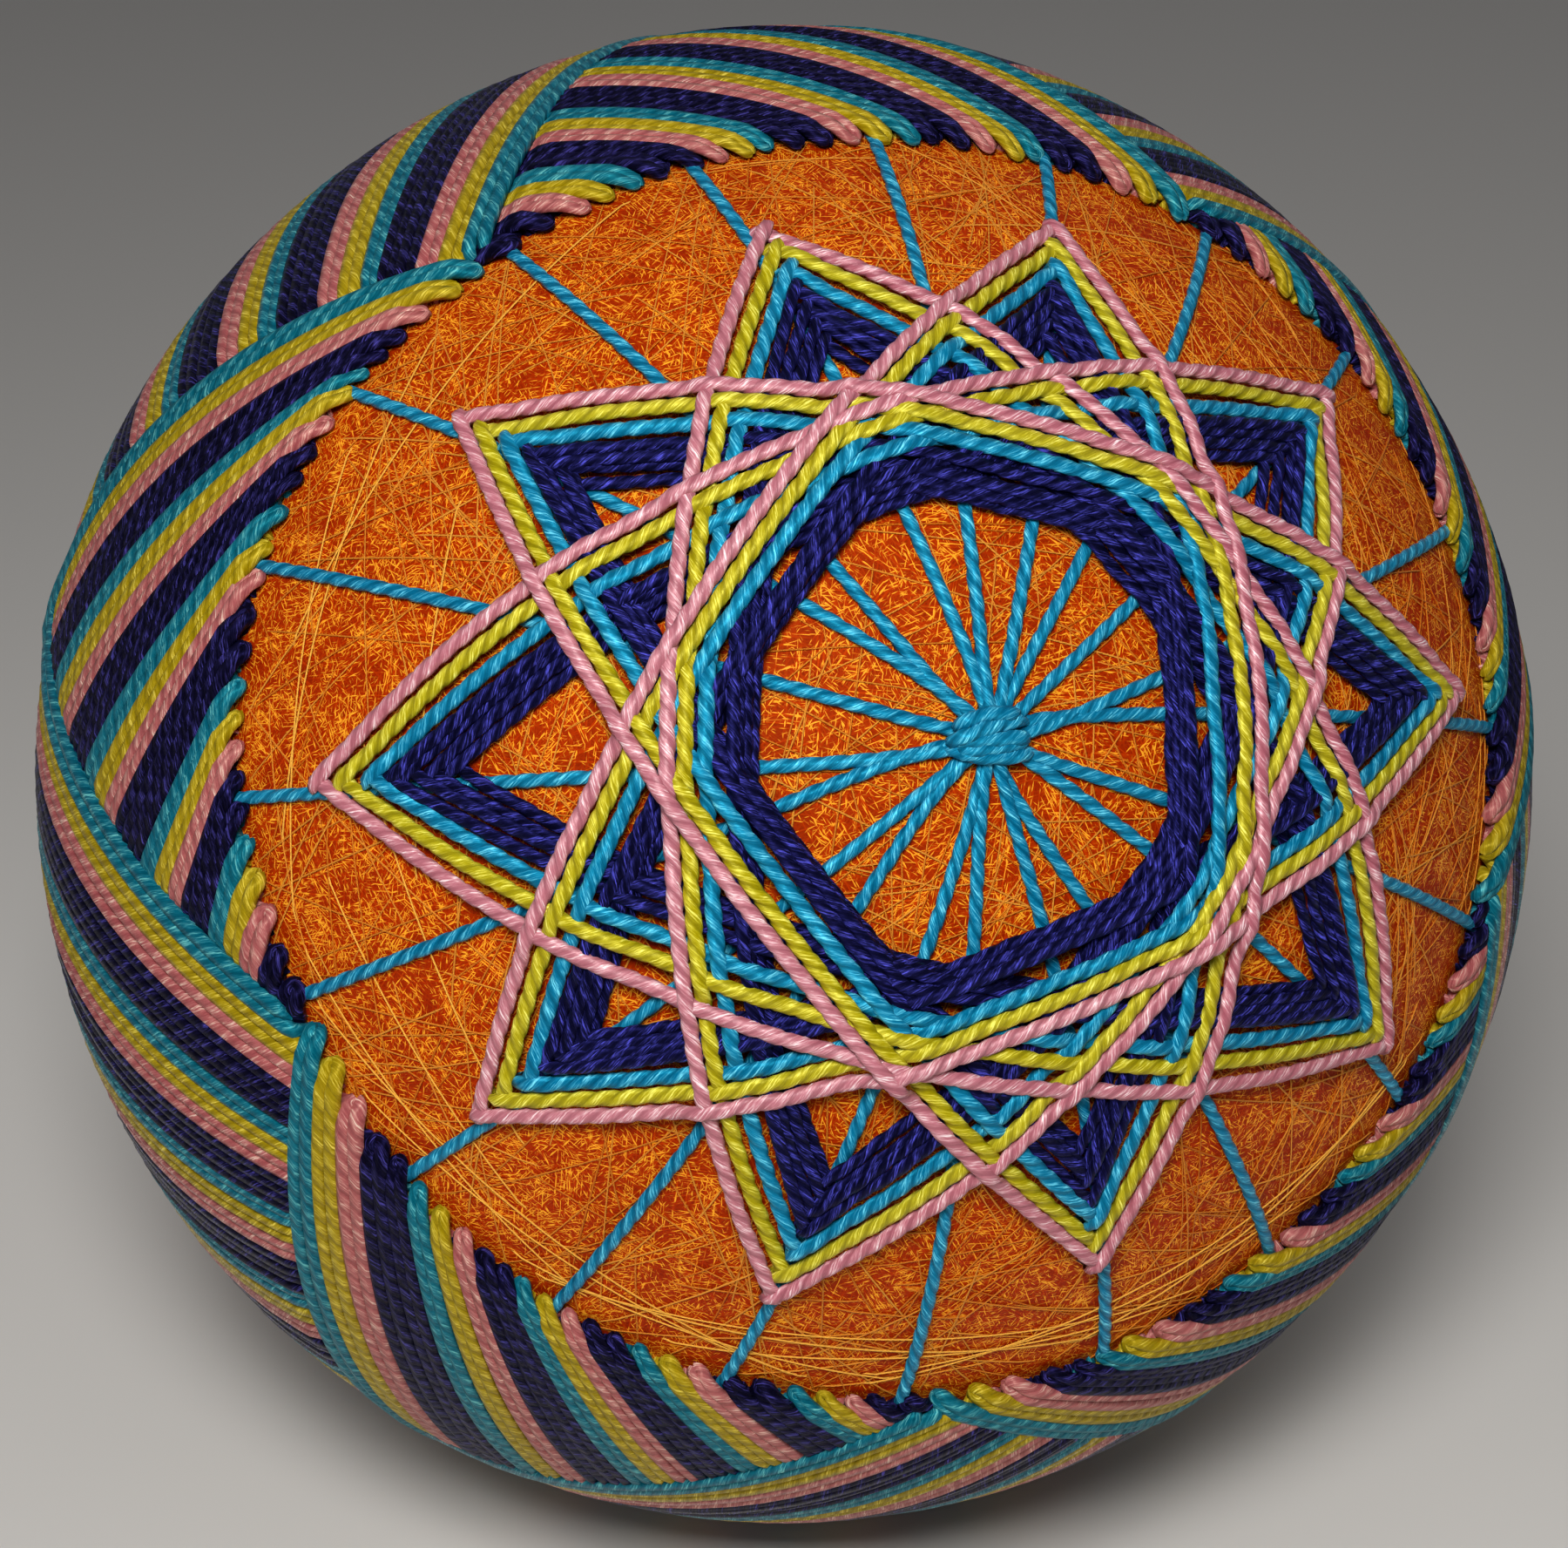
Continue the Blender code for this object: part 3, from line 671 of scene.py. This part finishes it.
def ply_group():
    """Plies and fibres of a strand, from its own length and roundness attributes."""
    tree, given, made = new_group(
        "ply_and_fibres", "ShaderNodeTree",
        (("Ply Turns", "NodeSocketFloat", 0.0),
         ("Strand Radius", "NodeSocketFloat", STRAND / 2.0),
         ("Fibre Length", "NodeSocketFloat", FIBRE_LENGTH),
         ("Fibre Width", "NodeSocketFloat", FIBRE_WIDTH)),
        (("Groove", "NodeSocketFloat"), ("Crown", "NodeSocketFloat"),
         ("Fibres", "NodeSocketFloat"), ("Tone", "NodeSocketFloat"),
         ("Height", "NodeSocketFloat")))
    put = given.outputs
    read = {}
    for label in ("around_cos", "around_sin", "along", "tone"):
        node = add(
            tree, "ShaderNodeAttribute", attribute_type="GEOMETRY", attribute_name=label)
        read[label] = node.outputs["Fac"]
    around = math(tree, "ARCTAN2", read["around_sin"], read["around_cos"])
    turned = math(tree, "MULTIPLY", read["along"], put["Ply Turns"])
    turned = math(tree, "ADD", turned, read["tone"])
    turned = math(tree, "MULTIPLY", turned, 2.0 * pi)
    angle = math(tree, "SUBTRACT", around, turned)
    level = math(tree, "COSINE", angle)
    upright = math(tree, "SINE", angle)
    groove = math(tree, "POWER", math(tree, "ABSOLUTE", upright), 6.0)
    crown = math(tree, "POWER", math(tree, "ABSOLUTE", level), 2.0)
    scale = math(tree, "DIVIDE", put["Strand Radius"], put["Fibre Width"])
    where = add(tree, "ShaderNodeCombineXYZ", {
        0: math(tree, "MULTIPLY", level, scale),
        1: math(tree, "MULTIPLY", upright, scale),
        2: math(tree, "DIVIDE", read["along"], put["Fibre Length"])})
    spread = add(tree, "ShaderNodeCombineXYZ", {
        0: math(tree, "MULTIPLY", read["tone"], 57.0), 1: 3.0,
        2: math(tree, "MULTIPLY", read["tone"], 31.0)})
    own = add(tree, "ShaderNodeVectorMath", {
        0: where.outputs[0], 1: spread.outputs[0]}, operation="ADD")
    noise = add(tree, "ShaderNodeTexNoise", {
        "Vector": own.outputs[0], "Scale": 1.0, "Detail": 2.0, "Roughness": 0.6})
    fibres = add(tree, "ShaderNodeMapRange", {
        "Value": noise.outputs[0], "From Min": 0.34, "From Max": 0.66}).outputs[0]
    height = math(tree, "SUBTRACT", math(tree, "MULTIPLY", fibres, 0.3), groove)
    for label, value in (
            ("Groove", groove), ("Crown", crown), ("Fibres", fibres), ("Tone", read["tone"]),
            ("Height", height)):
        tree.links.new(value, made.inputs[label])
    return tree


def srgb(red, green, blue):
    """Linear colour of eight-bit screen values."""
    made = []
    for value in (red, green, blue):
        part = value / 255.0
        made.append(part / 12.92 if part <= 0.04045 else ((part + 0.055) / 1.055) ** 2.4)
    return (*made, 1.0)


def new_material(name):
    material = bpy.data.materials.new(name)
    material.use_nodes = True
    tree = material.node_tree
    tree.nodes.clear()
    shader = tree.nodes.new("ShaderNodeBsdfPrincipled")
    output = tree.nodes.new("ShaderNodeOutputMaterial")
    tree.links.new(shader.outputs[0], output.inputs["Surface"])
    return material, tree, shader


def mix(tree, factor, first, second):
    node = add(tree, "ShaderNodeMix", {0: factor, 6: first, 7: second}, data_type="RGBA")
    return node.outputs[2]


def remap(tree, value, low, high):
    node = add(tree, "ShaderNodeMapRange", {"Value": value, "To Min": low, "To Max": high})
    return node.outputs[0]


def thread_material(name, plies, colours, shine, turns, radius, **tuned):
    """Silky mercerised cotton: painted shade between its plies, painted highlights along its fibres
    on the crown of each ply.
    """
    # shade: colour of the painted shade in the grooves, also the dark side of the fibre streaks;
    # light: colour of the painted highlights; gleam: specular and sheen tint
    shade, body, light, gleam = colours
    tune = {"dark": 0.6, "spread": 0.06, "sheen": 0.05, "rough": 0.42, "relief": 0.00004}
    tune.update(tuned)
    material, tree, shader = new_material(name)
    detail = add(tree, "ShaderNodeGroup", node_tree=plies)
    detail.inputs["Ply Turns"].default_value = turns
    detail.inputs["Strand Radius"].default_value = radius
    detail.inputs["Fibre Length"].default_value = FIBRE_LENGTH * radius / (STRAND / 2.0)
    detail.inputs["Fibre Width"].default_value = FIBRE_WIDTH * radius / (STRAND / 2.0)
    put = detail.outputs
    colour = mix(tree, put["Fibres"], mix(tree, 0.55, body, shade), body)
    # Painted highlight: a bright stroke along the fibres where each ply's crown is on top
    painted_highlight = math(tree, "MULTIPLY", put["Crown"], math(tree, "POWER", put["Fibres"], 3.5))
    colour = mix(tree, math(tree, "MULTIPLY", painted_highlight, 0.95), colour, light)
    # Painted shade in the grooves between the plies
    colour = mix(tree, math(tree, "MULTIPLY", put["Groove"], tune["dark"]), colour, shade)
    colour = mix(tree, math(tree, "MULTIPLY", put["Tone"], tune["spread"]), colour, gleam)
    tree.links.new(colour, shader.inputs["Base Color"])
    rough = remap(tree, put["Fibres"], tune["rough"] + 0.08, tune["rough"] - 0.08)
    tree.links.new(rough, shader.inputs["Roughness"])
    bump = add(tree, "ShaderNodeBump", {
        "Strength": 1.0, "Distance": tune["relief"], "Height": put["Height"]})
    tree.links.new(bump.outputs[0], shader.inputs["Normal"])
    run = add(tree, "ShaderNodeAttribute", attribute_type="GEOMETRY", attribute_name="run")
    facing = add(tree, "ShaderNodeNewGeometry").outputs["Normal"]
    fibre_run = add(tree, "ShaderNodeVectorRotate", {
        "Vector": run.outputs["Vector"], "Axis": facing, "Angle": PLY_LEAN})
    across = add(tree, "ShaderNodeVectorMath", {
        0: facing, 1: fibre_run.outputs[0]}, operation="CROSS_PRODUCT")
    tree.links.new(across.outputs[0], shader.inputs["Tangent"])
    shader.inputs["Anisotropic"].default_value = 0.85
    shader.inputs["Specular IOR Level"].default_value = shine
    shader.inputs["Specular Tint"].default_value = gleam
    shader.inputs["Sheen Weight"].default_value = tune["sheen"]
    shader.inputs["Sheen Roughness"].default_value = 0.45
    shader.inputs["Sheen Tint"].default_value = gleam
    return material


def wound_surface_material():
    """Lower layers of the orange winding: fine threads in several directions, with painted shade in
    the gaps between them and painted glints on them.
    """
    material, tree, shader = new_material("wound_orange_layers")
    laid = add(
        tree, "ShaderNodeAttribute", attribute_type="GEOMETRY", attribute_name="winding_plane")
    top, glint = None, None
    for turn in (0.15, 0.72, 1.21, 1.83, 2.36, 2.9):
        aimed = add(tree, "ShaderNodeVectorRotate", {
            "Vector": laid.outputs["Vector"], "Angle": turn}, rotation_type="Z_AXIS")
        bent = add(tree, "ShaderNodeTexNoise", {
            "Vector": aimed.outputs[0], "Scale": 60.0, "Detail": 0.0})
        bent = add(tree, "ShaderNodeVectorMath", {
            0: bent.outputs["Color"], "Scale": 0.0016}, operation="SCALE")
        bent = add(tree, "ShaderNodeVectorMath", {
            0: aimed.outputs[0], 1: bent.outputs[0]}, operation="ADD")
        long = add(tree, "ShaderNodeVectorMath", {
            0: bent.outputs[0], 1: (300.0, 8500.0, 0.0)}, operation="MULTIPLY")
        threads = add(tree, "ShaderNodeTexNoise", {
            "Vector": long.outputs[0], "Scale": 1.0, "Detail": 1.0, "Roughness": 0.4},
            noise_dimensions="2D")
        patch = add(tree, "ShaderNodeTexNoise", {
            "Vector": bent.outputs[0], "Scale": 420.0, "Detail": 1.0}, noise_dimensions="2D")
        patch = remap(tree, patch.outputs[0], 0.5, 1.25)
        threads = math(tree, "MULTIPLY", threads.outputs[0], patch)
        short = add(tree, "ShaderNodeVectorMath", {
            0: bent.outputs[0], 1: (1900.0, 14000.0, 0.0)}, operation="MULTIPLY")
        dashes = add(tree, "ShaderNodeTexNoise", {
            "Vector": short.outputs[0], "Scale": 1.0, "Detail": 0.0}, noise_dimensions="2D")
        dashes = math(tree, "MULTIPLY", dashes.outputs[0], threads)
        top = threads if top is None else math(tree, "MAXIMUM", top, threads)
        glint = dashes if glint is None else math(tree, "MAXIMUM", glint, dashes)
    depth = add(tree, "ShaderNodeMapRange", {
        "Value": top, "From Min": 0.42, "From Max": 0.72}).outputs[0]
    painted_glint = add(tree, "ShaderNodeMapRange", {
        "Value": glint, "From Min": 0.37, "From Max": 0.45}).outputs[0]
    # Darker orange in the gaps between the drawn threads: painted shade
    colour = mix(tree, depth, srgb(132, 25, 0), srgb(180, 48, 0))
    # Bright yellow dashes on the threads: painted glints
    colour = mix(tree, math(tree, "MULTIPLY", painted_glint, 0.85), colour, srgb(252, 172, 40))
    tree.links.new(colour, shader.inputs["Base Color"])
    bump = add(tree, "ShaderNodeBump", {"Strength": 0.7, "Distance": 0.00006, "Height": top})
    tree.links.new(bump.outputs[0], shader.inputs["Normal"])
    tree.links.new(remap(tree, painted_glint, 0.6, 0.35), shader.inputs["Roughness"])
    shader.inputs["Specular IOR Level"].default_value = 0.2
    shader.inputs["Specular Tint"].default_value = srgb(255, 180, 90)
    return material


def floor_material():
    material, tree, shader = new_material("pale_floor")
    shader.inputs["Base Color"].default_value = srgb(226, 222, 216)
    shader.inputs["Roughness"].default_value = 0.8
    return material


def ball_to_world():
    turn = Matrix.Rotation(radians(90.0 - STAR_TILT), 4, "X")
    return np.array(Matrix.Translation(BALL_CENTRE) @ turn)


def above_floor(points):
    """Threads under the ball are pressed flat where it rests."""
    limit = 0.0005
    low = points[:, 2] < limit
    points[low, 2] = limit * np.exp((points[low, 2] - limit) / limit)
    return points


def routes_object(name, routes):
    """One mesh of open lines, a line to a strand."""
    world = ball_to_world()
    counts = [len(r["points"]) for r in routes]
    points = np.vstack([r["points"] for r in routes]) @ world[:3, :3].T + world[:3, 3]
    firsts = np.cumsum([0] + counts[:-1])
    edges = np.vstack([
        np.column_stack([np.arange(c - 1), np.arange(1, c)]) + f for f, c in zip(firsts, counts)])
    mesh = bpy.data.meshes.new(name)
    mesh.vertices.add(len(points))
    mesh.vertices.foreach_set("co", points.ravel())
    mesh.edges.add(len(edges))
    mesh.edges.foreach_set("vertices", edges.ravel())
    layers = {
        "wide": np.concatenate([r["wide"] for r in routes]),
        "tone": np.repeat([r["tone"] for r in routes], counts),
        "phase": np.repeat([r["phase"] for r in routes], counts),
    }
    for label, values in layers.items():
        layer = mesh.attributes.new(label, "FLOAT", "POINT")
        layer.data.foreach_set("value", values.astype(float))
    mesh.update()
    lines = bpy.data.objects.new(name + "_routes", mesh)
    bpy.context.scene.collection.objects.link(lines)
    return lines


def strand_piece(name, routes, tree, material, sizes, node):
    """Finished strands of one colour as a plain mesh that stands for its CAD node."""
    lines = routes_object(name, routes)
    modifier = lines.modifiers.new("strands", "NODES")
    modifier.node_group = tree
    values = dict(sizes)
    values["Thread"] = material
    for item in tree.interface.items_tree:
        if item.in_out == "INPUT" and item.name in values:
            modifier[item.identifier] = values[item.name]
    bpy.context.view_layer.update()
    graph = bpy.context.evaluated_depsgraph_get()
    mesh = bpy.data.meshes.new_from_object(lines.evaluated_get(graph))
    bpy.data.objects.remove(lines, do_unlink=True)
    corners = np.empty(len(mesh.vertices) * 3)
    mesh.vertices.foreach_get("co", corners)
    mesh.vertices.foreach_set("co", above_floor(corners.reshape(-1, 3)).ravel())
    for spare in ("phase", "wide"):
        if spare in mesh.attributes:
            mesh.attributes.remove(mesh.attributes[spare])
    mesh.name = name
    mesh.materials.clear()
    mesh.materials.append(material)
    finished(name, mesh, node)


def finished(name, mesh, node):
    """A mesh becomes a piece of the scene that stands for its CAD node."""
    piece = bpy.data.objects.new(name, mesh)
    bpy.context.scene.collection.objects.link(piece)
    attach(piece, "root")
    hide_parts(node)


def wound_ball(material):
    """Lower layers of the winding as one ball, with the plane its threads are drawn in."""
    bpy.ops.mesh.primitive_ico_sphere_add(subdivisions=6, radius=BALL_RADIUS - 0.00005)
    ball = bpy.context.object
    mesh = ball.data.copy()
    bpy.data.objects.remove(ball, do_unlink=True)
    corners = np.empty(len(mesh.vertices) * 3)
    mesh.vertices.foreach_get("co", corners)
    world = ball_to_world()
    corners = corners.reshape(-1, 3)
    flat = corners / np.linalg.norm(corners, axis=1)[:, None]
    plane = flat * (2.0 * BALL_RADIUS / (1.0 + np.abs(flat[:, 2])))[:, None]
    plane[:, 2] = 0.0
    layer = mesh.attributes.new("winding_plane", "FLOAT_VECTOR", "POINT")
    layer.data.foreach_set("vector", plane.ravel())
    corners = corners @ world[:3, :3].T + world[:3, 3]
    mesh.vertices.foreach_set("co", corners.ravel())
    mesh.shade_smooth()
    mesh.name = "wound_ball"
    mesh.materials.append(material)
    finished("wound_ball", mesh, "wound_core")


def make_pieces():
    plies = ply_group()
    tree = strand_tree()
    # Each colour: painted groove shade, body, painted highlight, specular and sheen tint
    tones = {
        "navy": (srgb(2, 2, 7), srgb(9, 9, 32), srgb(84, 84, 210), srgb(90, 90, 220)),
        "turquoise": (srgb(0, 44, 72), srgb(0, 128, 172), srgb(125, 232, 252), srgb(60, 210, 245)),
        "yellow": (srgb(98, 86, 0), srgb(194, 178, 2), srgb(255, 250, 120), srgb(255, 248, 110)),
        "pink": (srgb(124, 48, 64), srgb(206, 118, 132), srgb(255, 240, 240), srgb(255, 226, 226)),
    }
    stitched, shaded_woven = {}, {}
    for colour, colours in tones.items():
        sheen = 0.01 if colour == "navy" else 0.05
        shine = 0.35 if colour == "navy" else 0.8
        stitched[colour] = thread_material(
            colour + "_stitched", plies, colours, shine, 0.0, STRAND / 2.0, spread=sheen,
            sheen=sheen)
        # The belt's copies of the thread colours are darker and warmer: painted shade on the belt
        darker = [tuple(np.multiply(value, BELT_SHADE)) for value in colours]
        shaded_woven[colour] = thread_material(
            colour + "_woven", plies, darker, shine, PLY_TURNS, STRAND / 2.0, spread=sheen,
            sheen=sheen, relief=0.00004, dark=0.4)
    # Fine thread's colours: painted groove shade, body, painted highlight, specular and sheen tint
    orange = (srgb(164, 54, 0), srgb(208, 90, 0), srgb(255, 184, 56), srgb(255, 196, 80))
    fine = thread_material(
        "fine_orange", plies, orange, 0.8, -1500.0, FINE_RADIUS, dark=0.3, spread=0.7,
        rough=0.36, relief=0.00002)
    wound_ball(wound_surface_material())

    for side, tips, middles, lines, strays, back, steps, knot, knot_turn in (
            ("front", FRONT_TIPS, FRONT_MIDDLES, FRONT_LINES, FRONT_STRAYS, False, 0.00024,
             plane_point(*FRONT_KNOT), FRONT_KNOT_TURN),
            ("back", BACK_TIPS, BACK_MIDDLES, BACK_LINES, BACK_STRAYS, True, 0.00036,
             plane_point(*BACK_KNOT), BACK_KNOT_TURN)):
        chance = np.random.default_rng(5 if back else 3)
        winding = winding_routes(back, strays, chance)
        strand_piece(
            "fine_winding_" + side, winding, tree, fine,
            {"Strand Radius": FINE_RADIUS, "Sides": 4, "Ply Dent": 0.0, "Ply Turns": 0.0,
             "Pressed": 0.8},
            "wound_core")
        relief = Relief()
        division = division_routes(lines, knot, back, relief, chance)
        division += knot_routes(knot, back, relief, chance, knot_turn)
        strand_piece(
            "division_strands_" + side, division, tree, stitched["turquoise"],
            {"Ply Dent": 0.2}, "division_threads_" + side)
        lengths = {name: steps * (1.1 if name == "navy" else 1.0) for name in COLOUR_NAMES}
        star = star_routes(tips, middles, back, relief, chance, lengths)
        for colour in COLOUR_NAMES:
            strand_piece(
                f"star_{side}_{colour}", star[colour], tree, stitched[colour],
                {"Ply Dent": 0.2, "Pressed": STAR_PRESSED}, "star_" + side)
    belt = belt_routes()
    for colour in COLOUR_NAMES:
        strand_piece(
            "belt_" + colour, belt[colour], tree, shaded_woven[colour],
            {"Sides": 6, "Ply Dent": 0.0, "Ply Turns": 0.0, "Pressed": 0.84},
            "belt")


def camera_direction():
    around, raised = radians(CAMERA_TURN), radians(CAMERA_RISE)
    return Vector((cos(raised) * sin(around), -cos(raised) * cos(around), sin(raised)))


def make_surroundings():
    floor_mesh = bpy.data.meshes.new("floor")
    half = 3.0
    corners = [(-half, -half, 0.0), (half, -half, 0.0), (half, half, 0.0), (-half, half, 0.0)]
    floor_mesh.from_pydata(corners, [], [(0, 1, 2, 3)])
    floor_mesh.materials.append(floor_material())
    floor = bpy.data.objects.new("floor", floor_mesh)
    bpy.context.scene.collection.objects.link(floor)

    towards = camera_direction()
    lens = bpy.data.cameras.new("camera")
    lens.sensor_width = CAMERA_SENSOR
    lens.lens = CAMERA_LENS
    lens.clip_start, lens.clip_end = 0.01, 20.0
    camera = bpy.data.objects.new("camera", lens)
    camera.location = BALL_CENTRE + towards * CAMERA_DISTANCE
    camera.rotation_mode = "QUATERNION"
    camera.rotation_quaternion = (-towards).to_track_quat("-Z", "Y")
    bpy.context.scene.collection.objects.link(camera)
    bpy.context.scene.camera = camera

    key_place = BALL_CENTRE + towards * 0.22 + Vector((-0.015, 0.0, 0.075))
    lamps = (
        ("key", key_place, 0.07, 0.60),
        ("side_fill", Vector((-0.5, -0.2, 0.35)), 0.5, 0.20),
        ("top_fill", Vector((0.25, 0.1, 0.6)), 0.6, 0.28),
    )
    for name, place, size, power in lamps:
        light = bpy.data.lights.new(name, "AREA")
        light.size = size
        light.energy = power
        lamp = bpy.data.objects.new(name, light)
        lamp.location = place
        lamp.rotation_mode = "QUATERNION"
        lamp.rotation_quaternion = (BALL_CENTRE - place).to_track_quat("-Z", "Y")
        bpy.context.scene.collection.objects.link(lamp)

    world = bpy.data.worlds.new("studio")
    world.use_nodes = True
    background = world.node_tree.nodes["Background"]
    background.inputs[0].default_value = (0.95, 0.96, 1.0, 1.0)
    background.inputs[1].default_value = 0.11
    bpy.context.scene.world = world
    bpy.context.scene.view_settings.view_transform = "Standard"


make_pieces()
make_surroundings()
